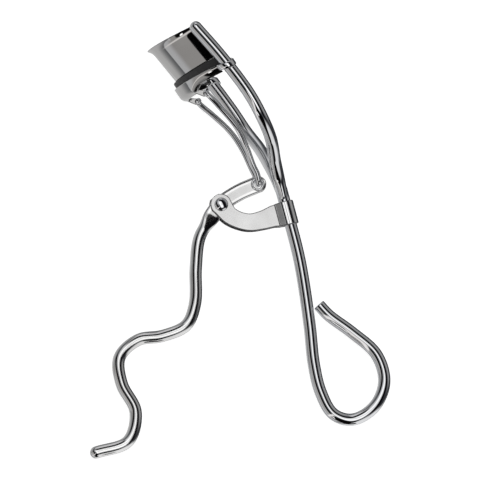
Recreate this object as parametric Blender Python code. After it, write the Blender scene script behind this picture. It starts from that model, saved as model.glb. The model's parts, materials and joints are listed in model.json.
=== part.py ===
"""Eyelash curler: a bent-wire handle with a finger loop, two guide rods with a curved upper jaw,
a sliding lower jaw with a soft pad, a push bail, and a thumb lever riveted in a folded bracket.

The tool is drawn in its own plane: x across, y along the tool towards the jaws, z from the right
side to the left side, with the rivet at the origin. An empty then lays it on its side on the floor.
"""

import math

import bpy
from mathutils import Matrix, Vector

MM = 0.001

# Wires
WIRE_R = 1.56 * MM  # handle, guide rods and the round part of the lever
BAIL_R = 0.83 * MM
WIRE_SIDES = 12
GAP = 0.15 * MM  # air between pieces that touch

# Jaws
JAW_HALF_WIDTH = 15.0 * MM  # from the middle plane to a guide rod's axis
JAW_CHORD = 13.35 * MM  # half the chord of the curved plate
JAW_DEPTH = 9.9 * MM  # how far the plate bulges out of the line between the rods
PLATE = 0.7 * MM
UPPER_HEIGHT = 10.3 * MM
LASH_ARCH = 0.7 * MM  # how much higher the lash line is at the rods than in the middle
RIM_FLARE = 1.0 * MM
PAD_HALF = 0.95 * MM
PAD_HEIGHT = 2.2 * MM
CHANNEL_WALL = 0.35 * MM
SKIRT_TOP = 1.55 * MM
SKIRT_DEEP = 5.2 * MM
SKIRT_SHALLOW = 3.2 * MM
LOOP_HEIGHT = 2.0 * MM
LOOP_WALL = 0.4 * MM

# Lever, bracket, rivet and eyelet
LEVER_THICK = 2.0 * MM
LEVER_WIDTH = 4.4 * MM
SHEET = 0.5 * MM
CHEEK_MID = 1.72 * MM  # from the middle plane to the middle of a bracket cheek's sheet
COLLAR_MID = 1.95 * MM
COLLAR_HALF = 3.0 * MM
CHEEK_END_R = 2.75 * MM
RIVET_R = 1.1 * MM
RIVET_HEAD_R = 1.7 * MM
RIVET_HEAD_H = 1.0 * MM
RIVET_HOLE_R = 1.2 * MM
EYELET_HOLE_R = 1.13 * MM
EYELET_TUBE_R = 1.34 * MM
EYELET_FLANGE_R = 1.65 * MM
EYELET_HOLE_IN_LEVER_R = 1.45 * MM


def mm(*values):
    return Vector([v * MM for v in values] + [0.0] * (3 - len(values)))


# Places in the tool's plane
PIVOT = mm(0, 0)
EYE = mm(9.3, 5.4)  # centre of the lever's eyelet
BAIL_SEAT = mm(0.24, 0.06)  # the bail bears on one side of the eyelet when the jaws are shut
BAIL_TOP = mm(-4.7, 27.2)  # where the bail's ends turn in the lower jaw's lugs
COLLAR = mm(16.95, -1.65)
COLLAR_AXIS = Vector((0.273, -0.962, 0)).normalized()
JAW_MOUTH = mm(-2.1, 35.4)  # middle of the chord at the upper jaw's lower edge
BULGE = Vector((-0.902, -0.432, 0)).normalized()
UPPER_DOWN = Vector((0.64, -0.768, 0)).normalized()
SLIDE = Vector((0.568, -0.823, 0)).normalized()
SIDE = Vector((0, 0, 1))

HANDLE_POINTS = [
    mm(15.1, 5.2), mm(16.8, -1.0), mm(20.0, -13.5), mm(22.5, -29.6), mm(23.6, -39.7),
    mm(25.3, -46.6), mm(28.5, -52.1), mm(33.4, -53.4), mm(38.9, -50.0), mm(41.4, -43.7),
    mm(39.4, -36.9), mm(33.3, -31.5), mm(27.3, -27.2), mm(25.0, -24.8),
]
ROD_POINTS = [
    mm(-7.5, 42.4, 15.0), mm(-1.9, 35.5, 15.0), mm(4.8, 26.6, 15.0), mm(8.3, 21.0, 13.6),
    mm(11.3, 15.9, 9.6), mm(13.2, 10.6, 4.4), mm(14.6, 6.6, 1.8),
]
LEVER_POINTS = [
    mm(9.3, 5.4), mm(4.5, 3.2), mm(0, 0), mm(-3.0, -4.2), mm(-5.3, -8.4),
    mm(-6.2, -16.0), mm(-6.4, -25.0), mm(-8.6, -30.4), mm(-14.6, -33.2), mm(-20.7, -34.3),
    mm(-25.4, -38.8), mm(-24.8, -45.4), mm(-21.3, -52.3), mm(-23.2, -59.8), mm(-31.2, -62.7),
]
BRACKET_POINTS = [mm(0, 0), mm(2.4, -2.8), mm(6.8, -4.3), mm(10.4, -3.7), mm(13.2, -2.7)]
BAIL_POINTS = [
    BAIL_TOP + mm(0, 0, 6.0), BAIL_TOP + mm(0, 0, 7.2), BAIL_TOP + mm(0.35, -0.4, 7.9),
    BAIL_TOP + mm(1.1, -1.1, 8.0), mm(-1.1, 23.7, 7.2), mm(3.3, 19.2, 5.9), mm(6.3, 14.4, 4.2),
    mm(8.1, 9.6, 3.0), EYE + BAIL_SEAT + mm(-0.35, 1.7, 2.75),
    EYE + BAIL_SEAT + mm(-0.1, 0.45, 2.45), EYE + BAIL_SEAT + mm(0, 0, 1.6),
]


def smooth_path(points, step):
    """Evenly spaced points on a centripetal Catmull-Rom curve through the given points."""
    first = points[0] * 2 - points[1]
    last = points[-1] * 2 - points[-2]
    knots = [first] + list(points) + [last]
    dense = []
    for a, b, c, d in zip(knots, knots[1:], knots[2:], knots[3:]):
        t1 = (b - a).length ** 0.5
        t2 = t1 + (c - b).length ** 0.5
        t3 = t2 + (d - c).length ** 0.5
        pieces = max(2, math.ceil((c - b).length / (step / 4)))
        for i in range(pieces):
            t = t1 + (t2 - t1) * i / pieces
            ab = a.lerp(b, t / t1)
            bc = b.lerp(c, (t - t1) / (t2 - t1))
            cd = c.lerp(d, (t - t2) / (t3 - t2))
            abc = ab.lerp(bc, t / t2)
            bcd = bc.lerp(cd, (t - t1) / (t3 - t1))
            dense.append(abc.lerp(bcd, (t - t1) / (t2 - t1)))
    dense.append(points[-1].copy())
    return even_path(dense, step)


def even_path(dense, step):
    lengths = [0.0]
    for a, b in zip(dense, dense[1:]):
        lengths.append(lengths[-1] + (b - a).length)
    count = max(2, round(lengths[-1] / step))
    path, j = [], 0
    for i in range(count + 1):
        s = lengths[-1] * i / count
        while j < len(lengths) - 2 and lengths[j + 1] < s:
            j += 1
        span = lengths[j + 1] - lengths[j]
        path.append(dense[j].lerp(dense[j + 1], (s - lengths[j]) / span))
    return path


def tangents(path):
    ends = [path[0]] + list(path) + [path[-1]]
    return [(c - a).normalized() for a, c in zip(ends, ends[2:])]


def frames(path):
    """A tangent, a side and an up vector at each point, with no twist along the path."""
    result, up = [], None
    for t in tangents(path):
        if up is None:
            up = SIDE if abs(t.dot(SIDE)) < 0.9 else Vector((0, 1, 0))
        up = (up - t * up.dot(t)).normalized()
        result.append((t, up.cross(t).normalized(), up))
    return result


def make_object(name, verts, faces, material, smooth=True):
    mesh = bpy.data.meshes.new(name)
    mesh.from_pydata([tuple(v) for v in verts], [], faces)
    mesh.materials.append(material)
    if smooth:
        mesh.shade_smooth()
        mesh.set_sharp_from_angle(angle=math.radians(35))
    obj = bpy.data.objects.new(name, mesh)
    bpy.context.collection.objects.link(obj)
    return obj


def loft(name, rings, material):
    """A closed solid through rings of equal length, wound anticlockwise seen from the last ring."""
    size = len(rings[0])
    verts = [p for ring in rings for p in ring]
    faces = []
    for r in range(len(rings) - 1):
        for i in range(size):
            j = (i + 1) % size
            a, b = r * size, (r + 1) * size
            faces.append((a + i, a + j, b + j, b + i))
    faces.append(tuple(range(size))[::-1])
    last = (len(rings) - 1) * size
    faces.append(tuple(range(last, last + size)))
    return make_object(name, verts, faces, material)


def ring_at(centre, side, up, half_side, half_up, sides, squareness=2.0):
    """A superellipse: squareness 2 is an ellipse, and more flattens its sides."""
    power = 2.0 / squareness
    points = []
    for i in range(sides):
        angle = 2 * math.pi * i / sides
        c, s = math.cos(angle), math.sin(angle)
        x = math.copysign(abs(c) ** power, c) * half_side
        y = math.copysign(abs(s) ** power, s) * half_up
        points.append(centre + side * x + up * y)
    return points


def round_wire(name, path, radius, material, dome_start=True, dome_end=True):
    """A wire with round section, whose ends are domed or cut flat."""
    basis = frames(path)
    rings = []
    dome = [(math.cos(a), math.sin(a)) for a in (math.radians(d) for d in (75, 50, 25))]
    if dome_start:
        t, side, up = basis[0]
        for c, s in dome:
            rings.append(ring_at(path[0] - t * radius * s, side, up, radius * c, radius * c, WIRE_SIDES))
    for p, (_, side, up) in zip(path, basis):
        rings.append(ring_at(p, side, up, radius, radius, WIRE_SIDES))
    if dome_end:
        t, side, up = basis[-1]
        for c, s in reversed(dome):
            rings.append(ring_at(path[-1] + t * radius * s, side, up, radius * c, radius * c, WIRE_SIDES))
    return loft(name, rings, material)


def turned(name, centre, axis, across, profile, sides, material):
    """A solid of revolution. The profile runs (radius, height), outside upwards, and closes on itself."""
    other = axis.cross(across)
    verts, faces = [], []
    for i in range(sides):
        angle = 2 * math.pi * i / sides
        out = across * math.cos(angle) + other * math.sin(angle)
        verts += [centre + out * r + axis * h for r, h in profile]
    size = len(profile)
    for i in range(sides):
        a, b = i * size, (i + 1) % sides * size
        for j in range(size):
            k = (j + 1) % size
            faces.append((a + j, b + j, b + k, a + k))
    return make_object(name, verts, faces, material)


def revolved_pin(name, centre, axis, across, profile, sides, material):
    """A solid of revolution whose profile starts and ends on the axis."""
    other = axis.cross(across)
    inner = profile[1:-1]
    verts = [centre + axis * profile[0][1]]
    for r, h in inner:
        for i in range(sides):
            angle = 2 * math.pi * i / sides
            verts.append(centre + (across * math.cos(angle) + other * math.sin(angle)) * r + axis * h)
    verts.append(centre + axis * profile[-1][1])
    faces = []
    for i in range(sides):
        j = (i + 1) % sides
        faces.append((0, 1 + j, 1 + i))
        for k in range(len(inner) - 1):
            a, b = 1 + k * sides, 1 + (k + 1) * sides
            faces.append((a + i, a + j, b + j, b + i))
        top = 1 + (len(inner) - 1) * sides
        faces.append((top + i, top + j, len(verts) - 1))
    return make_object(name, verts, faces, material)


def cutter(name, centre, radius, half_length, sides=20):
    """A cylinder across the tool, used only to cut a hole."""
    profile = [(0, -half_length), (radius, -half_length), (radius, half_length), (0, half_length)]
    tool = revolved_pin(name, centre, SIDE, Vector((1, 0, 0)), profile, sides, None)
    tool.hide_render = True
    tool.display_type = "WIRE"
    return tool


def boolean(obj, tool, operation):
    modifier = obj.modifiers.new(tool.name, "BOOLEAN")
    modifier.operation = operation
    modifier.solver = "EXACT"
    modifier.object = tool


def metal(name, colour, roughness, metallic=1.0):
    material = bpy.data.materials.new(name)
    material.use_nodes = True
    shader = material.node_tree.nodes["Principled BSDF"]
    shader.inputs["Base Color"].default_value = (*colour, 1.0)
    shader.inputs["Roughness"].default_value = roughness
    shader.inputs["Metallic"].default_value = metallic
    return material


# Jaw geometry: an arc between the rods, carried down along a direction in the tool's plane.
ARC_R = (JAW_CHORD**2 + JAW_DEPTH**2) / (2 * JAW_DEPTH)
ARC_CENTRE = JAW_DEPTH - ARC_R


def jaw_point(angle, outward, down, direction):
    """A point on the jaw's arc, moved outward from it and carried down along a direction."""
    radius = ARC_R + outward
    across = SIDE * (radius * math.sin(angle))
    bulge = BULGE * (ARC_CENTRE + radius * math.cos(angle))
    return JAW_MOUTH + bulge + across + direction * down


def lash_lift(angle):
    """How far the lash line rises at this angle round the jaw."""
    return LASH_ARCH * (1 - math.cos(angle)) / (1 - math.cos(math.asin(JAW_CHORD / ARC_R)))


def jaw_strip(name, half_angle, segments, section, direction, material):
    """Sweeps a closed section of (outward, down) corners round the jaw's arc."""
    rings = []
    for i in range(segments + 1):
        angle = half_angle * (1 - 2 * i / segments)
        rings.append([jaw_point(angle, o, d, direction) for o, d in section(angle)])
    return loft(name, rings, material)


def upper_jaw(material):
    def section(angle):
        flare = RIM_FLARE * math.cos(angle) ** 2
        lash = -lash_lift(angle)
        heights = [
            (lash, 0.0), (-UPPER_HEIGHT * 0.82, 0.0),
            (-UPPER_HEIGHT * 0.93, 0.35), (-UPPER_HEIGHT, 1.0),
        ]
        outer = [(flare * k, h) for h, k in heights]
        inner = [(o - PLATE, h) for o, h in reversed(outer)]
        return outer + inner

    half_angle = math.asin(JAW_CHORD / ARC_R)
    return jaw_strip("upper_jaw", half_angle, 24, section, UPPER_DOWN, material)


def lash_pad(material):
    middle = -PLATE / 2
    bottom = GAP + PAD_HEIGHT
    crown = 0.45 * MM

    def section(angle):
        top = GAP - lash_lift(angle)
        return [
            (middle + PAD_HALF, bottom), (middle + PAD_HALF, top + crown),
            (middle + PAD_HALF - crown, top), (middle - PAD_HALF + crown, top),
            (middle - PAD_HALF, top + crown), (middle - PAD_HALF, bottom),
        ]

    return jaw_strip("lash_pad", math.radians(66), 20, section, SLIDE, material)


def pad_channel(material):
    middle = -PLATE / 2
    inside = PAD_HALF + 0.1 * MM
    outside = inside + CHANNEL_WALL
    floor = GAP + PAD_HEIGHT + 0.1 * MM
    top = SKIRT_TOP

    def section(angle):
        return [
            (middle + outside, floor + CHANNEL_WALL), (middle + outside, top),
            (middle + inside, top), (middle + inside, floor),
            (middle - inside, floor), (middle - inside, top),
            (middle - outside, top), (middle - outside, floor + CHANNEL_WALL),
        ]

    return jaw_strip("pad_channel", math.radians(64), 20, section, SLIDE, material)


def lower_jaw(material):
    """The curved front plate, deep in the middle and arched near the rods, with two lugs folded in."""
    inner = -PLATE / 2 + PAD_HALF + 0.1 * MM + CHANNEL_WALL + 0.08 * MM
    outer = inner + 0.35 * MM

    def section(angle):
        share = min(1.0, max(0.0, (math.degrees(abs(angle)) - 36) / 22))
        bottom = SKIRT_DEEP + (SKIRT_SHALLOW - SKIRT_DEEP) * (1 - (1 - share) ** 2)
        return [(outer, bottom), (outer, SKIRT_TOP), (inner, SKIRT_TOP), (inner, bottom)]

    skirt = jaw_strip("lower_jaw", math.radians(63), 36, section, SLIDE, material)
    lug_in, lug_thick = 7.0 * MM, 0.6 * MM
    for sign, side in ((1, "left"), (-1, "right")):
        z = sign * lug_in
        reach = ARC_CENTRE + math.sqrt((ARC_R + inner + 0.2 * MM) ** 2 - lug_in**2)
        base = JAW_MOUTH + BULGE * reach
        corners = []
        for along, down in ((0, 4.4), (0, 5.5), (1.6, 7.3), (2.6, 7.3), (3.3, 6.6), (3.3, 5.6), (2.4, 4.9)):
            corners.append(base - BULGE * along * MM + SLIDE * down * MM)
        lug_rings = [[c + SIDE * (z + k * lug_thick / 2) for c in corners] for k in (-1, 1)]
        lug = loft("lug_" + side, lug_rings, material)
        lug.hide_render = True
        lug.display_type = "WIRE"
        boolean(skirt, lug, "UNION")
        lug.parent = skirt
    for z in (lug_in, -lug_in):
        hole = cutter("lug_hole", BAIL_TOP + SIDE * z, BAIL_R + 0.15 * MM, 1.2 * MM, 16)
        boolean(skirt, hole, "DIFFERENCE")
        hole.parent = skirt
    return skirt


def guide_loop(name, sign, material):
    """An oval sleeve of the jaw's sheet round one guide rod, open at both ends."""
    sides = 24
    centre = JAW_MOUTH + SIDE * (sign * JAW_HALF_WIDTH) + BULGE * (-0.16 * MM) + SLIDE * 1.8 * MM
    inner_w, inner_g = WIRE_R + 0.3 * MM, WIRE_R + 0.75 * MM
    verts = []
    for down in (0.0, LOOP_HEIGHT):
        for wall in (0.0, LOOP_WALL):
            half_g, half_w = inner_g + wall, inner_w + wall
            verts += ring_at(centre + SLIDE * down, BULGE, SIDE, half_g, half_w, sides)
    faces = []
    for i in range(sides):
        j = (i + 1) % sides
        top_in, top_out, low_in, low_out = (k * sides for k in range(4))
        faces.append((top_out + i, low_out + i, low_out + j, top_out + j))
        faces.append((top_in + i, top_in + j, low_in + j, low_in + i))
        faces.append((top_in + i, top_out + i, top_out + j, top_in + j))
        faces.append((low_in + i, low_in + j, low_out + j, low_out + i))
    return make_object(name, verts, faces, material)


def thumb_lever(material):
    """A bent wire, pressed flat between the eyelet and the rivet and round below."""
    path = smooth_path(LEVER_POINTS, 1.5 * MM)
    basis = frames(path)
    flat_end = 1.0 * MM  # how far below the rivet the flat part starts to turn round
    round_start = 8.0 * MM
    eye_r = LEVER_WIDTH / 2
    rings = []
    lengths = [0.0]
    for a, b in zip(path, path[1:]):
        lengths.append(lengths[-1] + (b - a).length)
    rivet_at = min(range(len(path)), key=lambda i: (path[i] - PIVOT).length)
    start = path[0]
    t, side, up = basis[0]
    for back in (0.97, 0.8, 0.5):
        width = eye_r * math.sqrt(1 - back * back)
        thick = LEVER_THICK / 2 * (1 - 0.25 * back)
        rings.append(ring_at(start - t * eye_r * back, side, up, width, thick, 16, 2.6))
    for i, (p, (_, side, up)) in enumerate(zip(path, basis)):
        below = lengths[i] - lengths[rivet_at]
        share = min(1.0, max(0.0, (below - flat_end) / (round_start - flat_end)))
        ease = share * share * (3 - 2 * share)
        width = LEVER_WIDTH / 2 + (WIRE_R - LEVER_WIDTH / 2) * ease
        thick = LEVER_THICK / 2 + (WIRE_R - LEVER_THICK / 2) * ease
        rings.append(ring_at(p, side, up, width, thick, 16, 3.2 + (2.0 - 3.2) * ease))
    t, side, up = basis[-1]
    for degrees in (25, 50, 75):
        c, s = math.cos(math.radians(degrees)), math.sin(math.radians(degrees))
        rings.append(ring_at(path[-1] + t * WIRE_R * s, side, up, WIRE_R * c, WIRE_R * c, 16))
    lever = loft("thumb_lever", rings, material)
    for name, place, radius in (
        ("rivet_hole", PIVOT, RIVET_HOLE_R),
        ("eye_hole", EYE, EYELET_HOLE_IN_LEVER_R),
    ):
        hole = cutter("lever_" + name, place, radius, 4 * MM)
        boolean(lever, hole, "DIFFERENCE")
        hole.parent = lever
    return lever


def bracket(material):
    """One folded strip: two C-shaped cheeks beside the lever, joggled out into a collar on the handle."""
    cheek = smooth_path(BRACKET_POINTS, 1.3 * MM)
    directions = tangents(cheek)
    sections = []
    start_dir = directions[0]
    for back in (0.97, 0.8, 0.5):
        half = CHEEK_END_R * math.sqrt(1 - back * back)
        across = Vector((-start_dir.y, start_dir.x, 0))
        sections.append((cheek[0] - start_dir * CHEEK_END_R * back, across, CHEEK_MID, half))
    for i, (p, t) in enumerate(zip(cheek, directions)):
        share = i / (len(cheek) - 1)
        half = 2.15 * MM + 0.6 * MM * (1 - share) ** 6 + 0.6 * MM * share**4
        sections.append((p, Vector((-t.y, t.x, 0)), CHEEK_MID, half))
    inward = Vector((COLLAR_AXIS.y, -COLLAR_AXIS.x, 0))  # from the collar towards the cheeks
    for out, offset, half in ((2.9, CHEEK_MID, 2.85), (2.2, COLLAR_MID, 2.95), (1.2, COLLAR_MID, 3.0)):
        sections.append((COLLAR + inward * out * MM, -COLLAR_AXIS, offset, half * MM))

    def corners(centre, across, outwards, half):
        a, b = outwards * SHEET / 2, across * half
        return [centre - a - b, centre + a - b, centre + a + b, centre - a + b]

    rings = []
    for centre, across, offset, half in sections:
        rings.append(corners(centre + SIDE * offset, across, SIDE, half))
    turns = 14
    for i in range(turns + 1):
        angle = math.pi * i / turns
        outwards = -inward * math.sin(angle) + SIDE * math.cos(angle)
        rings.append(corners(COLLAR + outwards * COLLAR_MID, -COLLAR_AXIS, outwards, COLLAR_HALF))
    for centre, across, offset, half in reversed(sections):
        rings.append(corners(centre - SIDE * offset, across, -SIDE, half))
    obj = loft("pivot_bracket", rings, material)
    hole = cutter("bracket_rivet_hole", PIVOT, RIVET_HOLE_R, 4 * MM)
    boolean(obj, hole, "DIFFERENCE")
    hole.parent = obj
    return obj


def rivet(material):
    seat = CHEEK_MID + SHEET / 2 + 0.08 * MM
    dome = []
    for degrees in (0, 30, 60):
        a = math.radians(degrees)
        dome.append((RIVET_HEAD_R * math.cos(a), seat + 0.2 * MM + (RIVET_HEAD_H - 0.2 * MM) * math.sin(a)))
    upper = [(RIVET_R, seat), (RIVET_HEAD_R, seat)] + dome + [(0, seat + RIVET_HEAD_H)]
    lower = [(r, -h) for r, h in reversed(upper)]
    return revolved_pin("pivot_rivet", PIVOT, SIDE, Vector((1, 0, 0)), lower + upper, 24, material)


def eyelet(material):
    seat = LEVER_THICK / 2 + 0.1 * MM
    top = seat + 0.25 * MM
    profile = [
        (EYELET_HOLE_R, -top), (EYELET_FLANGE_R, -top), (EYELET_FLANGE_R, -seat),
        (EYELET_TUBE_R, -seat), (EYELET_TUBE_R, seat), (EYELET_FLANGE_R, seat),
        (EYELET_FLANGE_R, top), (EYELET_HOLE_R, top),
    ]
    return turned("lever_eyelet", EYE, SIDE, Vector((1, 0, 0)), profile, 24, material)


def push_bail(material):
    """One wire: a pin in the left lug, down through the eyelet, and up to a pin in the right lug."""
    left = smooth_path(BAIL_POINTS, 1.0 * MM)
    right = [Vector((p.x, p.y, -p.z)) for p in reversed(left)]
    bar = [EYE + BAIL_SEAT + mm(0, 0, z) for z in (0.8, -0.8)]
    return round_wire("push_bail", left + bar + right, BAIL_R, material)


def lay_on_side(pieces):
    """Tilts and lifts the tool so that a guide loop, the finger loop and the lever's tip lie on the floor."""
    low = WIRE_R * SIDE
    finger_loop = mm(32.5, -53.4) - low
    lever_tip = mm(-31.0, -62.7) - low
    guide = JAW_MOUTH + SLIDE * 2.8 * MM - SIDE * (JAW_HALF_WIDTH + WIRE_R + 0.3 * MM + LOOP_WALL)
    normal = (finger_loop - lever_tip).cross(guide - lever_tip).normalized()
    along = Vector((0, 1, 0))
    y_axis = (along - normal * along.dot(normal)).normalized()
    x_axis = y_axis.cross(normal)
    turn = Matrix((x_axis, y_axis, normal)).to_4x4()
    rest = bpy.data.objects.new("resting_on_side", None)
    bpy.context.collection.objects.link(rest)
    corners = [turn @ v.co for piece in pieces for v in piece.data.vertices]
    shift = Vector((
        -(min(c.x for c in corners) + max(c.x for c in corners)) / 2,
        -(min(c.y for c in corners) + max(c.y for c in corners)) / 2,
        -min(c.z for c in corners),
    ))
    rest.matrix_world = Matrix.Translation(shift) @ turn
    return rest


def set_origin(obj, place):
    """Moves an object's origin to a place in the tool's plane without moving its shape."""
    obj.data.transform(Matrix.Translation(-place))
    obj.location = place
    for child in obj.children:
        child.matrix_parent_inverse = Matrix.Translation(-place)


def main():
    for obj in list(bpy.data.objects):
        bpy.data.objects.remove(obj)
    chrome = metal("polished_chrome", (0.78, 0.79, 0.81), 0.08)
    satin = metal("satin_steel", (0.82, 0.82, 0.82), 0.3)
    dark = metal("jaw_chrome", (0.62, 0.62, 0.63), 0.12)
    rubber = metal("black_rubber", (0.02, 0.02, 0.02), 0.6, 0.0)

    handle_path = smooth_path(HANDLE_POINTS, 2.0 * MM)
    handle = round_wire("handle_wire", handle_path, WIRE_R, chrome, dome_start=False)
    rod_path = smooth_path(ROD_POINTS, 1.8 * MM)
    rods = []
    for sign, side in ((1, "left"), (-1, "right")):
        path = [Vector((p.x, p.y, p.z * sign)) for p in rod_path]
        rods.append(round_wire("guide_rod_" + side, path, WIRE_R, chrome, dome_end=False))
    fixed = [handle, *rods, upper_jaw(dark), bracket(satin), rivet(chrome)]
    loops = [guide_loop("guide_loop_left", 1, chrome), guide_loop("guide_loop_right", -1, chrome)]
    sliding = [lower_jaw(dark), pad_channel(chrome), lash_pad(rubber), *loops]
    swinging = [thumb_lever(satin), eyelet(chrome)]
    bail = push_bail(chrome)

    pieces = fixed + sliding + swinging + [bail]
    rest = lay_on_side(pieces)
    for piece in pieces:
        piece.parent = rest
    for piece in swinging:
        set_origin(piece, PIVOT)
    set_origin(bail, BAIL_TOP)


main()
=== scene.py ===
import json
import math
import bpy
from mathutils import Matrix, Vector


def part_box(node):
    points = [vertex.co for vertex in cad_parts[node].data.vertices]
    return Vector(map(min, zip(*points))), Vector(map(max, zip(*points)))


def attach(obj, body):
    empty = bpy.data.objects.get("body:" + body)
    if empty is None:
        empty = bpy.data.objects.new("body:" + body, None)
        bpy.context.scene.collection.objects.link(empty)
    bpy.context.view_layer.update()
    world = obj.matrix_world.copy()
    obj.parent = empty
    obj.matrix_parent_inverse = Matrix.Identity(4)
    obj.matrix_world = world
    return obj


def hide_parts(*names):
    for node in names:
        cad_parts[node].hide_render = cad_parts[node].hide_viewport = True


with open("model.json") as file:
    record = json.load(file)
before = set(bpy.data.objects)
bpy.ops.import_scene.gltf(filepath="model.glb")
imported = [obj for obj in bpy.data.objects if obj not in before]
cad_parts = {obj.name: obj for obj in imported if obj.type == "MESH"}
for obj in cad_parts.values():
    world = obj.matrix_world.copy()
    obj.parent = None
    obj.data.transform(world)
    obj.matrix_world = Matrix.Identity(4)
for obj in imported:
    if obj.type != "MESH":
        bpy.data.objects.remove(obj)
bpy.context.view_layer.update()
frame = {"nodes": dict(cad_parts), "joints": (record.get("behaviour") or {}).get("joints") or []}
print("frame loaded:", len(frame["nodes"]), "nodes")

# The tool's own axes: across, along towards the jaws, and from its right side to its left side.
# Everything below is drawn in millimetres on these axes, with the rivet at the origin.
joints = {j["name"]: j for j in frame["joints"]}
leftWay = -Vector(joints["lever_pivot"]["axis"]).normalized()
slideWay = Vector(joints["jaw_slide"]["axis"]).normalized()
squareWay = leftWay.cross(slideWay)
slideDown = Vector((0.568, -0.823, 0)).normalized()
acrossWay = slideWay * slideDown.x - squareWay * slideDown.y
alongWay = slideWay * slideDown.y + squareWay * slideDown.x
rivetLow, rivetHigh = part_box("pivot_rivet")
rivetPlace = (Vector(rivetLow) + Vector(rivetHigh)) / 2
toolTurn = Matrix((acrossWay, alongWay, leftWay)).transposed()
toolPlace = Matrix.Translation(rivetPlace) @ toolTurn.to_4x4() @ Matrix.Scale(0.001, 4)
side = Vector((0, 0, 1))


def flat(x, y, z=0.0):
    return Vector((x, y, z))


# shapes shared by the pieces
def smoothPath(points, step):
    first = points[0] * 2 - points[1]
    last = points[-1] * 2 - points[-2]
    knots = [first] + list(points) + [last]
    dense = []
    for a, b, c, d in zip(knots, knots[1:], knots[2:], knots[3:]):
        t1 = (b - a).length ** 0.5
        t2 = t1 + (c - b).length ** 0.5
        t3 = t2 + (d - c).length ** 0.5
        pieces = max(2, math.ceil((c - b).length / (step / 3)))
        for i in range(pieces):
            t = t1 + (t2 - t1) * i / pieces
            ab = a.lerp(b, t / t1)
            bc = b.lerp(c, (t - t1) / (t2 - t1))
            cd = c.lerp(d, (t - t2) / (t3 - t2))
            abc = ab.lerp(bc, t / t2)
            bcd = bc.lerp(cd, (t - t1) / (t3 - t1))
            dense.append(abc.lerp(bcd, (t - t1) / (t2 - t1)))
    dense.append(points[-1].copy())
    lengths = [0.0]
    for a, b in zip(dense, dense[1:]):
        lengths.append(lengths[-1] + (b - a).length)
    count = max(2, round(lengths[-1] / step))
    path = []
    j = 0
    for i in range(count + 1):
        s = lengths[-1] * i / count
        while j < len(lengths) - 2 and lengths[j + 1] < s:
            j += 1
        path.append(dense[j].lerp(dense[j + 1], (s - lengths[j]) / (lengths[j + 1] - lengths[j])))
    for turn in range(3):  # eases the curve so that a polished wire shows no kinks
        path = [path[0]] + [(a + b * 2 + c) / 4 for a, b, c in zip(path, path[1:], path[2:])] + [path[-1]]
    return path


def pathFrames(path):
    ends = [path[0]] + list(path) + [path[-1]]
    result = []
    up = side
    for a, c in zip(ends, ends[2:]):
        t = (c - a).normalized()
        up = up - t * up.dot(t)
        if up.length < 0.05:
            up = Vector((0, 1, 0)) - t * t.y
        up.normalize()
        result.append((t, up.cross(t).normalized(), up.copy()))
    return result


def ring(centre, sideWay, upWay, halfSide, halfUp, sides, squareness=2.0):
    power = 2.0 / squareness
    points = []
    for i in range(sides):
        angle = 2 * math.pi * i / sides
        c, s = math.cos(angle), math.sin(angle)
        x = math.copysign(abs(c) ** power, c) * halfSide
        y = math.copysign(abs(s) ** power, s) * halfUp
        points.append(centre + sideWay * x + upWay * y)
    return points


def addPiece(name, verts, faces, material, body, replaced, sharpAngle=40, slot=None):
    mesh = bpy.data.meshes.new(name)
    mesh.from_pydata([tuple(toolPlace @ v) for v in verts], [], faces)
    mesh.materials.append(material)
    mesh.shade_smooth()
    mesh.set_sharp_from_angle(angle=math.radians(sharpAngle))
    piece = bpy.data.objects.new(name, mesh)
    bpy.context.collection.objects.link(piece)
    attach(piece, body)
    if replaced:
        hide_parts(*replaced)
    return piece


def loftFaces(rings):
    size = len(rings[0])
    verts = [p for r in rings for p in r]
    faces = []
    for r in range(len(rings) - 1):
        for i in range(size):
            j = (i + 1) % size
            a, b = r * size, (r + 1) * size
            faces.append((a + i, a + j, b + j, b + i))
    faces.append(tuple(range(size))[::-1])
    last = (len(rings) - 1) * size
    faces.append(tuple(range(last, last + size)))
    return verts, faces


def wireRings(path, radiusAt, sides, startEnd="round", endEnd="round"):
    basis = pathFrames(path)
    roundSteps = [(math.cos(math.radians(d)), math.sin(math.radians(d))) for d in (84, 72, 58, 44, 30, 15)]
    steps = {"round": roundSteps, "cut": [(0.55, 0.2), (0.8, 0.19), (0.9, 0.15), (0.97, 0.08)]}
    rings = []
    t, sideWay, upWay = basis[0]
    r = radiusAt(0.0)
    for c, s in steps[startEnd]:
        rings.append(ring(path[0] - t * r * s, sideWay, upWay, r * c, r * c, sides))
    for i, (p, (_, sideWay, upWay)) in enumerate(zip(path, basis)):
        r = radiusAt(i / (len(path) - 1))
        rings.append(ring(p, sideWay, upWay, r, r, sides))
    t, sideWay, upWay = basis[-1]
    r = radiusAt(1.0)
    for c, s in reversed(steps[endEnd]):
        rings.append(ring(path[-1] + t * r * s, sideWay, upWay, r * c, r * c, sides))
    return rings


def turnedFaces(centre, profile, sides):
    verts = []
    faces = []
    for i in range(sides):
        angle = 2 * math.pi * i / sides
        out = Vector((math.cos(angle), math.sin(angle), 0))
        verts += [centre + out * r + side * h for r, h in profile]
    size = len(profile)
    for i in range(sides):
        a, b = i * size, (i + 1) % sides * size
        for j in range(size):
            k = (j + 1) % size
            faces.append((a + j, b + j, b + k, a + k))
    return verts, faces


def addBevel(piece, width, segments=3, angle=40, finish=None):
    bevel = piece.modifiers.new("softEdge", "BEVEL")
    if finish:
        piece.data.materials.append(finish)
        bevel.material = 1
    bevel.width = width * 0.001
    bevel.segments = segments
    bevel.limit_method = "ANGLE"
    bevel.use_clamp_overlap = False
    bevel.angle_limit = math.radians(angle)
    return bevel


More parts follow.
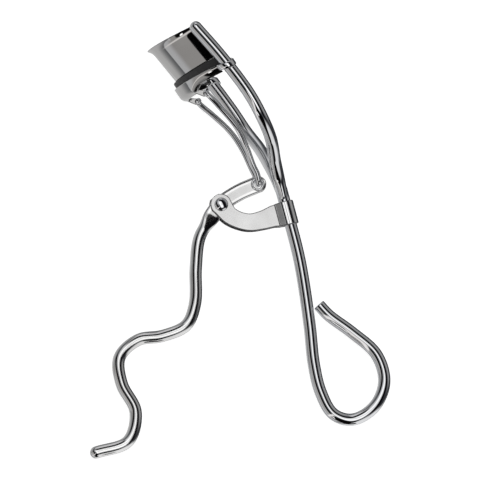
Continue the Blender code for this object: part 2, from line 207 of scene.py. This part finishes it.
# finishes
def noiseNode(tree, scale, detail, stretch=(1, 1, 1)):
    coords = tree.nodes.new("ShaderNodeTexCoord")
    mapping = tree.nodes.new("ShaderNodeMapping")
    mapping.inputs["Scale"].default_value = stretch
    noise = tree.nodes.new("ShaderNodeTexNoise")
    noise.inputs["Scale"].default_value = scale
    noise.inputs["Detail"].default_value = detail
    tree.links.new(coords.outputs["Object"], mapping.inputs["Vector"])
    tree.links.new(mapping.outputs["Vector"], noise.inputs["Vector"])
    return noise.outputs["Fac"]


def remap(tree, value, low, high, fromLow=0.3, fromHigh=0.7):
    node = tree.nodes.new("ShaderNodeMapRange")
    node.inputs["From Min"].default_value = fromLow
    node.inputs["From Max"].default_value = fromHigh
    node.inputs["To Min"].default_value = low
    node.inputs["To Max"].default_value = high
    tree.links.new(value, node.inputs["Value"])
    return node.outputs["Result"]


def mixColour(tree, fac, a, b):
    node = tree.nodes.new("ShaderNodeMix")
    node.data_type = "RGBA"
    for socket, value in ((node.inputs["A"], a), (node.inputs["B"], b)):
        if isinstance(value, tuple):
            socket.default_value = (*value, 1)
        else:
            tree.links.new(value, socket)
    tree.links.new(fac, node.inputs["Factor"])
    return node.outputs["Result"]


def makeFinish(name, look):
    material = bpy.data.materials.new(name)
    material.use_nodes = True
    tree = material.node_tree
    shader = tree.nodes["Principled BSDF"]
    shader.inputs["Metallic"].default_value = look["metallic"]
    patches = remap(tree, noiseNode(tree, look["patchScale"], 3), 0, 1)
    body = mixColour(tree, patches, look["colour"], look["colourVaried"])
    # sharp edges are painted lighter: a painted highlight along the edges of the metal parts, which on the
    # rubber also stands for wear
    edges = tree.nodes.new("ShaderNodeNewGeometry")
    sheenAndWearMask = remap(tree, edges.outputs["Pointiness"], 0, look["edgeSheenAndWear"], 0.52, 0.6)
    tree.links.new(mixColour(tree, sheenAndWearMask, body, look["edgeSheenAndWearColour"]), shader.inputs["Base Color"])
    smudge = noiseNode(tree, look["smudgeScale"], 4)
    tree.links.new(remap(tree, smudge, *look["roughness"]), shader.inputs["Roughness"])
    grain = noiseNode(tree, look["grainScale"], 2, look["grainStretch"])
    bump = tree.nodes.new("ShaderNodeBump")
    bump.inputs["Strength"].default_value = look["grainStrength"]
    bump.inputs["Distance"].default_value = look["grainDepth"]
    tree.links.new(grain, bump.inputs["Height"])
    tree.links.new(bump.outputs["Normal"], shader.inputs["Normal"])
    return material


# the edge colour and amount paint a lighter colour on sharp edges: a painted highlight line
chromeLook = {"metallic": 1.0, "colour": (0.78, 0.79, 0.81), "colourVaried": (0.74, 0.74, 0.75),
              "patchScale": 160, "edgeSheenAndWearColour": (0.9, 0.9, 0.9), "edgeSheenAndWear": 0.5, "smudgeScale": 420,
              "roughness": (0.02, 0.05),
              "grainScale": 2600, "grainStretch": (1, 1, 1), "grainStrength": 0.05, "grainDepth": 0.00002}
plateLook = dict(chromeLook, colour=(0.57, 0.565, 0.56), colourVaried=(0.53, 0.522, 0.518),
                 roughness=(0.035, 0.07))
satinLook = dict(chromeLook, colour=(0.86, 0.86, 0.86), colourVaried=(0.7, 0.695, 0.69), patchScale=130,
                 roughness=(0.09, 0.15), grainStretch=(1, 6, 1), grainStrength=0.12)
rubberLook = {"metallic": 0.0, "colour": (0.03, 0.03, 0.031), "colourVaried": (0.04, 0.04, 0.041),
              "patchScale": 300, "edgeSheenAndWearColour": (0.07, 0.07, 0.07), "edgeSheenAndWear": 0.6, "smudgeScale": 800,
              "roughness": (0.5, 0.68),
              "grainScale": 5200, "grainStretch": (1, 1, 1), "grainStrength": 0.35, "grainDepth": 0.00004}
# dark finish for the bevel faces of the sheet parts: painted shade that draws dark lines along their edges
edgeShadeLook = dict(satinLook, colour=(0.2, 0.2, 0.205), colourVaried=(0.14, 0.14, 0.145), roughness=(0.2, 0.3))
chrome = makeFinish("polishedChrome", chromeLook)
plateChrome = makeFinish("plateChrome", plateLook)
satin = makeFinish("satinSteel", satinLook)
rubber = makeFinish("softRubber", rubberLook)
edgeShadeFinish = makeFinish("paintedEdgeShade", edgeShadeLook)
print("finishes made")

# handle wire and finger loop
handleWire = {"radius": 1.56, "sides": 40, "step": 0.45}
handlePoints = [
    flat(15.35, 4.4), flat(16.8, -1.0), flat(20.0, -13.5), flat(22.5, -29.6), flat(23.6, -39.7),
    flat(25.3, -46.6), flat(28.5, -52.1), flat(33.4, -53.4), flat(38.9, -50.0), flat(41.4, -43.7),
    flat(39.4, -36.9), flat(33.3, -31.5), flat(27.3, -27.2), flat(25.0, -24.8),
]
handlePath = smoothPath(handlePoints, handleWire["step"])
handleRings = wireRings(handlePath, lambda f: handleWire["radius"], handleWire["sides"], "round", "cut")
addPiece("handleWire", *loftFaces(handleRings), chrome, "frame", ["handle_wire"], slot="polished_chrome")
print("handle wire done")

# the two guide rods, brazed together at the top of the handle
guideRod = {"radius": 1.56, "sides": 40, "step": 0.4, "tipRadius": 1.2, "narrowFrom": 0.86}
rodPoints = [
    flat(-8.3, 42.5, 15.0), flat(-2.1, 35.55, 15.0), flat(4.8, 26.6, 15.0), flat(8.3, 21.0, 13.6),
    flat(11.3, 15.9, 9.6), flat(13.2, 10.6, 4.4), flat(14.5, 6.9, 1.75), flat(15.3, 4.2, 0.95),
    flat(15.8, 2.4, 0.6),
]


def rodRadius(share):
    narrowed = max(0.0, (share - guideRod["narrowFrom"]) / (1 - guideRod["narrowFrom"]))
    return guideRod["radius"] - (guideRod["radius"] - guideRod["tipRadius"]) * narrowed**2


for sign, word in ((1, "Left"), (-1, "Right")):
    path = smoothPath([flat(p.x, p.y, p.z * sign) for p in rodPoints], guideRod["step"])
    rodFaces = loftFaces(wireRings(path, rodRadius, guideRod["sides"]))
    replaced = ["guide_rod_" + word.lower()]
    addPiece("guideRod" + word, *rodFaces, chrome, "frame", replaced, slot="polished_chrome")
print("guide rods done")

# jaws: sheet bent round an arc between the rods
jawArc = {"mouth": (-2.1, 35.4), "halfWidth": 13.35, "depth": 9.9, "bulge": (-0.902, -0.432),
          "upperDown": (0.64, -0.768), "lashLift": 0.7}
arcRadius = (jawArc["halfWidth"]**2 + jawArc["depth"]**2) / (2 * jawArc["depth"])
arcCentre = jawArc["depth"] - arcRadius
bulgeWay = flat(*jawArc["bulge"]).normalized()
upperDown = flat(*jawArc["upperDown"]).normalized()
mouth = flat(*jawArc["mouth"])


def jawPoint(angle, outward, down, direction):
    radius = arcRadius + outward
    bulge = bulgeWay * (arcCentre + radius * math.cos(angle))
    return mouth + bulge + side * (radius * math.sin(angle)) + direction * down


def lashLift(angle):
    atRods = 1 - math.cos(math.asin(jawArc["halfWidth"] / arcRadius))
    return jawArc["lashLift"] * (1 - math.cos(angle)) / atRods


def jawRings(halfAngle, segments, section, direction):
    rings = []
    for i in range(segments + 1):
        angle = halfAngle * (1 - 2 * i / segments)
        rings.append([jawPoint(angle, o, d, direction) for o, d in section(angle)])
    return rings


upperJaw = {"height": 10.3, "flare": 0.75, "endFlare": 0.12, "thick": 0.6, "halfAngle": 74, "segments": 120}


def upperSection(angle):
    flare = upperJaw["flare"] * math.cos(angle) ** 2 + upperJaw["endFlare"]
    lash = -lashLift(angle)
    h = upperJaw["height"]
    rows = [(lash, 0.0), (lash - 0.5, 0.0), (-h * 0.5, 0.0), (-h * 0.78, 0.0), (-h * 0.83, 0.02),
            (-h * 0.88, 0.12), (-h * 0.93, 0.36), (-h * 0.97, 0.68), (-h, 1.0)]
    outer = [(flare * k, d) for d, k in rows]
    inner = [(o - upperJaw["thick"], d) for o, d in reversed(outer)]
    return outer + inner


upperRings = jawRings(math.radians(upperJaw["halfAngle"]), upperJaw["segments"], upperSection, upperDown)
upperFaces = loftFaces(upperRings)
upperPiece = addPiece("upperJaw", *upperFaces, plateChrome, "frame", ["upper_jaw"], slot="jaw_chrome")
# the bevel faces take the dark finish: painted shade along the jaw's edges
addBevel(upperPiece, 0.2, 4, 40, edgeShadeFinish)
print("upper jaw done")

padMiddle = -0.35  # the pad and its channel sit this far inside the jaws' arc
lashPad = {"half": 1.2, "height": 1.9, "endDrop": 1.1, "sunk": 0.2, "dropStart": 48, "dropSpan": 22,
           "halfAngle": 70, "segments": 90, "crown": 0.35}


def padSection(angle):
    top = 0.1 - lashLift(angle)
    towardsEnd = max(0.0, (math.degrees(abs(angle)) - lashPad["dropStart"]) / lashPad["dropSpan"])
    low = lashPad["height"] + lashPad["sunk"] + lashPad["endDrop"] * towardsEnd**1.5
    w = lashPad["half"]
    crown = lashPad["crown"]
    points = []
    for k in range(7):
        a = math.pi / 2 * k / 6
        points.append((padMiddle + w - crown * (1 - math.cos(a)), top + crown * (1 - math.sin(a))))
    left = [(2 * padMiddle - o, d) for o, d in reversed(points)]
    return [(padMiddle + w, low)] + points + left + [(padMiddle - w, low)]


padRings = jawRings(math.radians(lashPad["halfAngle"]), lashPad["segments"], padSection, slideDown)
padPiece = addPiece("lashPad", *loftFaces(padRings), rubber, "jaw", ["lash_pad"], slot="black_rubber")
addBevel(padPiece, 0.12)

padChannel = {"inside": 1.0, "wall": 0.32, "corner": 0.12, "top": 1.6, "floor": 2.2, "halfAngle": 65,
              "segments": 90}


def channelSection(angle):
    inside = padChannel["inside"]
    outside = inside + padChannel["wall"]
    corner, top, base = padChannel["corner"], padChannel["top"], padChannel["floor"]
    low = base + padChannel["wall"]
    return [(padMiddle + outside - corner, low), (padMiddle + outside, low - corner),
            (padMiddle + outside, top), (padMiddle + inside, top), (padMiddle + inside, base),
            (padMiddle - inside, base), (padMiddle - inside, top), (padMiddle - outside, top),
            (padMiddle - outside, low - corner), (padMiddle - outside + corner, low)]


channelHalf = math.radians(padChannel["halfAngle"])
channelRings = jawRings(channelHalf, padChannel["segments"], channelSection, slideDown)
channelFaces = loftFaces(channelRings)
channelPiece = addPiece("padChannel", *channelFaces, chrome, "jaw", ["pad_channel"], slot="polished_chrome")
addBevel(channelPiece, 0.06, 2)

lowerJaw = {"face": 1.5, "thick": 0.35, "top": 1.7, "deep": 4.0, "curl": 1.7, "curlDeep": 1.6,
            "curlTurn": 0.85, "archHeight": 2.1, "archRoll": 44, "archStart": 28, "archEnd": 50,
            "archEase": 2.2, "halfAngle": 68, "segments": 120, "rows": 9}


def lowerSection(angle):
    span = lowerJaw["archEnd"] - lowerJaw["archStart"]
    share = min(1.0, max(0.0, (math.degrees(abs(angle)) - lowerJaw["archStart"]) / span))
    arch = 1 - (1 - share) ** lowerJaw["archEase"]
    face, top, last = lowerJaw["face"], lowerJaw["top"], lowerJaw["rows"] - 1
    roll = math.radians(lowerJaw["archRoll"])
    rollRadius = lowerJaw["archHeight"] / math.sin(roll)
    outer = []
    for k in range(lowerJaw["rows"]):
        turn = math.pi / 2 * max(0, k - 2) / (last - 2) * lowerJaw["curlTurn"]
        down = top + (lowerJaw["deep"] - top) * min(k, 2) / 2
        middleOut = face - lowerJaw["curl"] * (1 - math.cos(turn))
        middle = Vector((middleOut, down + lowerJaw["curlDeep"] * math.sin(turn)))
        turn = roll * k / last
        rolled = Vector((face - rollRadius * (1 - math.cos(turn)), top + rollRadius * math.sin(turn)))
        outer.append(middle.lerp(rolled, arch))
    inner = [(o - lowerJaw["thick"], d - 0.1 * k / last) for k, (o, d) in enumerate(outer)]
    return [tuple(p) for p in reversed(outer)] + inner


lowerRings = jawRings(math.radians(lowerJaw["halfAngle"]), lowerJaw["segments"], lowerSection, slideDown)
lowerFaces = loftFaces(lowerRings)
lowerPiece = addPiece("lowerJaw", *lowerFaces, plateChrome, "jaw", ["lower_jaw"], slot="jaw_chrome")
addBevel(lowerPiece, 0.08, 2)

# ears folded in from the lower jaw's back edge, where the bail's ends turn
jawEar = {"in": 7.0, "thick": 0.4, "behindFace": 0.3,
          "outline": ((-0.3, 4.2), (0.2, 5.2), (1.5, 6.9), (2.2, 7.25), (2.9, 6.95), (3.15, 6.3), (2.8, 5.65),
                      (1.6, 4.9))}
for sign, word in ((1, "Left"), (-1, "Right")):
    earRadius = arcRadius + lowerJaw["face"] - jawEar["behindFace"]
    reach = arcCentre + math.sqrt(earRadius**2 - jawEar["in"] ** 2)
    base = mouth + bulgeWay * reach
    corners = [base - bulgeWay * a + slideDown * d for a, d in jawEar["outline"]]
    rings = [[c + side * (sign * jawEar["in"] + k * jawEar["thick"] / 2) for c in corners] for k in (-1, 1)]
    ear = addPiece("jawEar" + word, *loftFaces(rings), plateChrome, "jaw", [], slot="jaw_chrome")
    addBevel(ear, 0.14, 3, 25)
print("lower jaw, channel and pad done")

# guide loops: sheet rolled round the rods
guideLoop = {"acrossHalf": 1.9, "bulgeHalf": 1.95, "wall": 0.38, "height": 1.6, "edge": 0.12, "sides": 72,
             "rodAt": 15.0, "downLeft": 1.6, "downRight": 2.4, "shift": -0.05, "tilt": 16}
loopWall, loopHeight, loopEdge = guideLoop["wall"], guideLoop["height"], guideLoop["edge"]
loopProfile = [(0.0, loopEdge), (loopEdge, 0.0), (loopWall - loopEdge, 0.0), (loopWall, loopEdge),
               (loopWall, loopHeight - loopEdge), (loopWall - loopEdge, loopHeight),
               (loopEdge, loopHeight), (0.0, loopHeight - loopEdge)]
for sign, word in ((1, "Left"), (-1, "Right")):
    centre = mouth + side * (sign * guideLoop["rodAt"]) + bulgeWay * guideLoop["shift"]
    centre = centre + slideDown * guideLoop["down" + word]
    sides = guideLoop["sides"]
    verts = []
    faces = []
    for i in range(sides):
        angle = 2 * math.pi * i / sides
        for wall, down in loopProfile:
            away = (guideLoop["acrossHalf"] + wall) * math.sin(angle)
            lean = math.tan(math.radians(guideLoop["tilt"])) * (away * sign)
            verts.append(centre + bulgeWay * ((guideLoop["bulgeHalf"] + wall) * math.cos(angle))
                         + side * away + slideDown * (down + lean))
    size = len(loopProfile)
    for i in range(sides):
        a, b = i * size, (i + 1) % sides * size
        for j in range(size):
            k = (j + 1) % size
            faces.append((a + j, a + k, b + k, b + j))
    replaced = ["guide_loop_" + word.lower()]
    addPiece("guideLoop" + word, verts, faces, chrome, "jaw", replaced, 60, "polished_chrome")
print("guide loops done")

# push bail
pushBail = {"radius": 0.72, "sides": 28, "step": 0.3}
eye = flat(9.3, 5.4)
bailSeat = flat(0.24, 0.06)
bailTop = flat(-4.7, 27.2)
bailPoints = [
    bailTop + flat(0, 0, 6.0), bailTop + flat(0, 0, 7.2), bailTop + flat(0.35, -0.4, 7.8),
    bailTop + flat(1.2, -1.2, 7.7), flat(-1.0, 23.7, 6.6), flat(3.3, 19.2, 4.9), flat(6.1, 14.4, 3.1),
    flat(8.0, 9.9, 2.0), eye + bailSeat + flat(-0.45, 2.2, 1.95), eye + bailSeat + flat(-0.15, 0.6, 1.9),
    eye + bailSeat + flat(0, 0, 1.3),
]
leftLeg = smoothPath(bailPoints, pushBail["step"])
rightLeg = [flat(p.x, p.y, -p.z) for p in reversed(leftLeg)]
bar = [eye + bailSeat + flat(0, 0, z) for z in (0.9, 0.4, 0.0, -0.4, -0.9)]
bailRings = wireRings(leftLeg + bar + rightLeg, lambda f: pushBail["radius"], pushBail["sides"])
addPiece("pushBail", *loftFaces(bailRings), chrome, "bail", ["push_bail"], slot="polished_chrome")
print("push bail done")

# thumb lever
thumbLever = {"radius": 1.56, "flatHalf": 2.15, "flatThick": 1.9, "flatEnd": 3.4, "roundStart": 7.6,
              "sides": 56, "step": 0.4, "eyeRadius": 2.25, "squareness": 3.6, "squareUntil": 0.45,
              "eyeHole": 1.42}
leverPoints = [
    flat(9.3, 5.4), flat(4.5, 3.2), flat(0, 0), flat(-3.0, -4.2), flat(-5.3, -8.4),
    flat(-6.2, -16.0), flat(-6.4, -25.0), flat(-8.6, -30.4), flat(-14.6, -33.2), flat(-20.7, -34.3),
    flat(-25.4, -38.8), flat(-24.8, -45.4), flat(-21.3, -52.3), flat(-23.2, -59.8), flat(-31.2, -62.7),
]
leverPath = smoothPath(leverPoints, thumbLever["step"])
leverFrames = pathFrames(leverPath)
leverRings = []
startWay, startSide, startUp = leverFrames[0]
for degrees in (86, 76, 64, 52, 40, 28, 14):
    back = math.sin(math.radians(degrees))
    width = thumbLever["eyeRadius"] * math.cos(math.radians(degrees))
    place = leverPath[0] - startWay * thumbLever["eyeRadius"] * back
    leverRings.append(ring(place, startSide, startUp, width, thumbLever["flatThick"] / 2, thumbLever["sides"],
                           thumbLever["squareness"]))
lengths = [0.0]
for a, b in zip(leverPath, leverPath[1:]):
    lengths.append(lengths[-1] + (b - a).length)
rivetAt = min(range(len(leverPath)), key=lambda i: leverPath[i].length)
for i, (p, (_, sideWay, upWay)) in enumerate(zip(leverPath, leverFrames)):
    below = lengths[i] - lengths[rivetAt]
    taper = thumbLever["roundStart"] - thumbLever["flatEnd"]
    share = min(1.0, max(0.0, (below - thumbLever["flatEnd"]) / taper))
    ease = share * share * (3 - 2 * share)
    width = thumbLever["flatHalf"] + (thumbLever["radius"] - thumbLever["flatHalf"]) * ease
    thick = thumbLever["flatThick"] / 2 + (thumbLever["radius"] - thumbLever["flatThick"] / 2) * share
    rounding = max(0.0, (share - thumbLever["squareUntil"]) / (1 - thumbLever["squareUntil"])) ** 0.8
    squareness = thumbLever["squareness"] + (2.0 - thumbLever["squareness"]) * rounding
    leverRings.append(ring(p, sideWay, upWay, width, thick, thumbLever["sides"], squareness))
endWay, endSide, endUp = leverFrames[-1]
for degrees in (15, 30, 45, 60, 74, 86):
    c, s = math.cos(math.radians(degrees)), math.sin(math.radians(degrees))
    r = thumbLever["radius"]
    leverRings.append(ring(leverPath[-1] + endWay * r * s, endSide, endUp, r * c, r * c, thumbLever["sides"]))
leverFaces = loftFaces(leverRings)
leverPiece = addPiece("thumbLever", *leverFaces, satin, "lever", ["thumb_lever"], 30, "satin_steel")


def drill(piece, name, centre, radius, sides=64, reach=5):
    verts = []
    for z in (-reach, reach):
        for i in range(sides):
            a = 2 * math.pi * i / sides
            verts.append(toolPlace @ (centre + flat(radius * math.cos(a), radius * math.sin(a), z)))
    faces = [(i, (i + 1) % sides, sides + (i + 1) % sides, sides + i) for i in range(sides)]
    faces += [tuple(range(sides))[::-1], tuple(range(sides, 2 * sides))]
    mesh = bpy.data.meshes.new(name)
    mesh.from_pydata([tuple(v) for v in verts], [], faces)
    tool = bpy.data.objects.new(name, mesh)
    bpy.context.collection.objects.link(tool)
    cut = piece.modifiers.new(name, "BOOLEAN")
    cut.operation = "DIFFERENCE"
    cut.solver = "EXACT"
    cut.object = tool
    bpy.context.view_layer.objects.active = piece
    bpy.context.view_layer.update()
    depsgraph = bpy.context.evaluated_depsgraph_get()
    cutMesh = bpy.data.meshes.new_from_object(piece.evaluated_get(depsgraph))
    piece.modifiers.clear()
    piece.data = cutMesh
    bpy.data.objects.remove(tool)


drill(leverPiece, "eyeHole", eye, thumbLever["eyeHole"])
print("thumb lever done")

# pivot bracket: a folded strip, two cheeks and a collar round the handle
pivotBracket = {"sheet": 0.42, "cheekMid": 1.36, "collarMid": 1.92, "collarHalf": 3.0, "endRadius": 2.7,
                "step": 0.3, "ramp": 13, "edge": 0.2, "rivetHole": 1.2}
collarAt = min(range(len(handlePath)), key=lambda i: (handlePath[i] - flat(16.95, -1.65)).length)
collar = handlePath[collarAt]
collarAxis = (handlePath[collarAt + 1] - handlePath[collarAt - 1]).normalized()
cheekPoints = [flat(0, 0), flat(2.4, -2.8), flat(6.8, -4.3), flat(10.4, -3.7), flat(13.2, -2.7)]
cheekPath = smoothPath(cheekPoints, pivotBracket["step"])
cheekFrames = pathFrames(cheekPath)
sections = []
cheekStart = cheekFrames[0][0]
cheekAcross = flat(-cheekStart.y, cheekStart.x)
for degrees in (87, 80, 72, 64, 55, 45, 34, 22, 10):
    back = math.sin(math.radians(degrees))
    half = pivotBracket["endRadius"] * math.cos(math.radians(degrees))
    place = cheekPath[0] - cheekStart * pivotBracket["endRadius"] * back
    sections.append((place, cheekAcross, pivotBracket["cheekMid"], half))
for i, (p, (t, _, _)) in enumerate(zip(cheekPath, cheekFrames)):
    share = i / (len(cheekPath) - 1)
    half = 2.1 + 0.6 * (1 - share) ** 6 + 0.6 * share**4
    sections.append((p, flat(-t.y, t.x), pivotBracket["cheekMid"], half))
inward = flat(collarAxis.y, -collarAxis.x)
# the fold between each cheek and the collar: distance from the wire, rise and half width
fold = ((3.25, 0.0, 2.8), (3.1, 0.0, 2.82), (3.04, 0.06, 2.83), (2.96, 0.06, 2.85), (2.9, 0.02, 2.87),
        (2.8, 0.06, 2.9))
for out, rise, half in fold:
    sections.append((collar + inward * out, -collarAxis, pivotBracket["cheekMid"] + rise, half))


def stripCorners(centre, across, outwards, half):
    a, b = outwards * pivotBracket["sheet"] / 2, across * half
    return [centre - a - b, centre + a - b, centre + a + b, centre - a + b]


bracketRings = [stripCorners(c + side * offset, across, side, half) for c, across, offset, half in sections]
wrapStart = -pivotBracket["ramp"]  # degrees before the top of the wire, where the sheet first hugs it
wrapSteps = 60
for i in range(wrapSteps + 1):
    angle = math.radians(wrapStart + (180 - 2 * wrapStart) * i / wrapSteps)
    outwards = -inward * math.sin(angle) + side * math.cos(angle)
    place = collar + outwards * pivotBracket["collarMid"]
    bracketRings.append(stripCorners(place, -collarAxis, outwards, pivotBracket["collarHalf"]))
for c, across, offset, half in reversed(sections):
    bracketRings.append(stripCorners(c - side * offset, across, -side, half))
bracketFaces = loftFaces(bracketRings)
bracketPiece = addPiece("pivotBracket", *bracketFaces, satin, "frame", ["pivot_bracket"], 30, "satin_steel")
# the bevel faces take the dark finish: painted shade along the bracket's edges
addBevel(bracketPiece, pivotBracket["edge"], 4, 50, edgeShadeFinish)
drill(bracketPiece, "rivetHole", flat(0, 0), pivotBracket["rivetHole"])
print("pivot bracket done")

# rivet and eyelet
pivotRivet = {"shank": 1.1, "head": 1.72, "rim": 0.18, "edge": 0.05, "dome": 1.0, "seat": 1.6, "sides": 72}
head, seat, rim, edge = pivotRivet["head"], pivotRivet["seat"], pivotRivet["rim"], pivotRivet["edge"]
half = [(0.0001, seat + pivotRivet["dome"])]
for degrees in range(85, -1, -8):
    a = math.radians(degrees)
    half.append((head * math.cos(a), seat + rim + (pivotRivet["dome"] - rim) * math.sin(a)))
half += [(head, seat + edge), (head - edge, seat), (pivotRivet["shank"], seat)]
rivetProfile = [(r, -h) for r, h in half] + [(r, h) for r, h in reversed(half)]
rivetFaces = turnedFaces(flat(0, 0), rivetProfile, pivotRivet["sides"])
addPiece("pivotRivet", *rivetFaces, chrome, "frame", ["pivot_rivet"], 50, "polished_chrome")

leverEyelet = {"hole": 1.08, "tube": 1.34, "flange": 1.72, "height": 0.3, "sides": 72}
seat = thumbLever["flatThick"] / 2 + 0.02
middle = (leverEyelet["hole"] + leverEyelet["flange"]) / 2
flangeTop = [(leverEyelet["tube"], seat)]
for degrees in range(0, 181, 15):
    a = math.radians(degrees)
    rolled = middle + (leverEyelet["flange"] - middle) * math.cos(a)
    flangeTop.append((rolled, seat + leverEyelet["height"] * math.sin(a)))
eyeletProfile = [(r, -h) for r, h in reversed(flangeTop)] + flangeTop
eyeletFaces = turnedFaces(eye, eyeletProfile, leverEyelet["sides"])
addPiece("leverEyelet", *eyeletFaces, chrome, "lever", ["lever_eyelet"], 50, "polished_chrome")
print("rivet and eyelet done")

# camera
cameraRight = toolTurn @ Vector((0.9899, 0, 0.1417)).normalized()
cameraBack = toolTurn @ Vector((-0.1404, -0.1347, 0.981)).normalized()
cameraUp = cameraBack.cross(cameraRight).normalized()
view = {"distance": 2.5, "width": 0.12, "right": 0.004875, "down": 0.008675}
camera = bpy.data.objects.new("camera", bpy.data.cameras.new("camera"))
camera.data.sensor_width = 36
camera.data.lens = 36 * view["distance"] / view["width"]
camera.data.clip_start = 0.05
target = rivetPlace + cameraRight * view["right"] - cameraUp * view["down"]
cameraTurn = Matrix((cameraRight, cameraUp, cameraBack)).transposed()
camera.matrix_world = Matrix.Translation(target + cameraBack * view["distance"]) @ cameraTurn.to_4x4()
bpy.context.collection.objects.link(camera)
bpy.context.scene.camera = camera

# floor
floorMesh = bpy.data.meshes.new("floor")
floorMesh.from_pydata([(x, y, -0.0002) for x, y in ((-3, -3), (3, -3), (3, 3), (-3, 3))], [], [(0, 1, 2, 3)])
floorMaterial = bpy.data.materials.new("floorWhite")
floorMaterial.use_nodes = True
floorTree = floorMaterial.node_tree
floorShader = floorTree.nodes["Principled BSDF"]
floorShader.inputs["Base Color"].default_value = (0.9, 0.9, 0.9, 1)
floorShader.inputs["Roughness"].default_value = 0.9
floorShader.inputs["Emission Color"].default_value = (1, 1, 1, 1)
floorShader.inputs["Emission Strength"].default_value = 0.85
floorMesh.materials.append(floorMaterial)
floor = bpy.data.objects.new("floor", floorMesh)
floor.visible_glossy = False
bpy.context.collection.objects.link(floor)

# studio: a grey room with soft white panels and a few dark ones, the later ones over the earlier
# towards is right, up and back from the camera; wide, tall and turn are degrees, wide and tall to each side
world = bpy.data.worlds.new("studio")
bpy.context.scene.world = world
world.use_nodes = True
tree = world.node_tree
background = tree.nodes["Background"]
direction = tree.nodes.new("ShaderNodeTexCoord").outputs["Generated"]


def mathNode(operation, a, b=None):
    node = tree.nodes.new("ShaderNodeMath")
    node.operation = operation
    for i, value in enumerate((a, b)):
        if value is None:
            continue
        if isinstance(value, (int, float)):
            node.inputs[i].default_value = value
        else:
            tree.links.new(value, node.inputs[i])
    return node.outputs[0]


def dotNode(vector):
    node = tree.nodes.new("ShaderNodeVectorMath")
    node.operation = "DOT_PRODUCT"
    tree.links.new(direction, node.inputs[0])
    node.inputs[1].default_value = vector
    return node.outputs["Value"]


def addPanel(colourBelow, panel):
    right, up, back = panel["towards"]
    centre = (cameraRight * right + cameraUp * up + cameraBack * back).normalized()
    turn = math.radians(panel.get("turn", 0))
    rough = cameraUp * math.cos(turn) + cameraRight * math.sin(turn)
    tall = (rough - centre * rough.dot(centre)).normalized()
    wide = tall.cross(centre)
    x = dotNode(wide / math.sin(math.radians(panel["wide"])))
    y = dotNode(tall / math.sin(math.radians(panel["tall"])))
    x = mathNode("POWER", mathNode("ABSOLUTE", x), 4.0)
    y = mathNode("POWER", mathNode("ABSOLUTE", y), 4.0)
    distance = mathNode("POWER", mathNode("ADD", x, y), 0.25)
    fall = tree.nodes.new("ShaderNodeMapRange")
    fall.interpolation_type = "SMOOTHSTEP"
    fall.inputs["From Min"].default_value = 1 + panel["soft"]
    fall.inputs["From Max"].default_value = 1 - panel["soft"]
    tree.links.new(distance, fall.inputs["Value"])
    front = mathNode("GREATER_THAN", dotNode(centre), 0.0)
    return mixColour(tree, mathNode("MULTIPLY", fall.outputs["Result"], front), colourBelow, panel["colour"])


leftWall, rightWall = (0.15, 0.157, 0.165), (0.03, 0.032, 0.036)
room = mixColour(tree, mathNode("MULTIPLY_ADD", dotNode(cameraRight), 0.5), leftWall, rightWall)
slant = -38  # turns a panel to run with the jaws
panels = [
    # pale wall behind, left
    {"towards": (-0.395, -0.305, -0.866), "wide": 35, "tall": 75, "turn": slant, "soft": 0.4,
     "colour": (0.62, 0.62, 0.62)},
    # cool card, left
    {"towards": (-0.747, -0.577, 0.326), "wide": 31, "tall": 34, "turn": slant, "soft": 0.03,
     "colour": (0.66, 0.67, 0.685)},
    # warm grey card over the cool one
    {"towards": (-0.685, -0.529, 0.5), "wide": 24, "tall": 44, "turn": slant, "soft": 0.3,
     "colour": (0.44, 0.43, 0.42)},
    # top panel
    {"towards": (-0.1, 0.84, 0.54), "wide": 17, "tall": 45, "soft": 0.25,
     "colour": (0.68, 0.68, 0.69)},
    # grey card, right
    {"towards": (0.78, 0.6, 0.05), "wide": 20, "tall": 38, "turn": slant, "soft": 0.25,
     "colour": (0.34, 0.34, 0.34)},
    # low panel
    {"towards": (0.45, -0.85, -0.1), "wide": 42, "tall": 32, "turn": 30, "soft": 0.2,
     "colour": (0.9, 0.9, 0.9)},
    # dark card, below
    {"towards": (0.008, -0.754, 0.654), "wide": 28, "tall": 22, "turn": slant, "soft": 0.06,
     "colour": (0.002, 0.002, 0.002)},
    # dark card, low left
    {"towards": (0.14, -0.983, 0.087), "wide": 14, "tall": 15, "turn": slant, "soft": 0.1,
     "colour": (0.01, 0.01, 0.01)},
    # small lamp in the dark card below
    {"towards": (-0.364, -0.693, 0.62), "wide": 3.4, "tall": 3.4, "turn": slant, "soft": 0.3,
     "colour": (2.2, 2.2, 2.2)},
    # light strip above the dark card below
    {"towards": (-0.501, -0.617, 0.605), "wide": 45, "tall": 3.5, "turn": slant, "soft": 0.3,
     "colour": (1.0, 0.97, 0.95)},
    # dark card, left
    {"towards": (-0.605, 0.0965, 0.7916), "wide": 13.5, "tall": 33.5, "turn": slant, "soft": 0.05,
     "colour": (0.001, 0.001, 0.001)},
    # dark card, right
    {"towards": (0.5, 0.4, 0.77), "wide": 12, "tall": 60, "turn": slant, "soft": 0.15,
     "colour": (0.003, 0.003, 0.004)},
    # key panel
    {"towards": (0.208, 0.156, 0.966), "wide": 12, "tall": 30, "turn": -25, "soft": 0.2,
     "colour": (1.3, 1.3, 1.3)},
    # dimmer middle of the key panel
    {"towards": (0.278, 0.26, 0.925), "wide": 6, "tall": 8, "soft": 0.3,
     "colour": (0.88, 0.88, 0.88)},
]
for panel in panels:
    room = addPanel(room, panel)
tree.links.new(room, background.inputs["Color"])
background.inputs["Strength"].default_value = 1.0
bpy.context.scene.view_settings.view_transform = "Standard"
print("camera, floor and studio set")
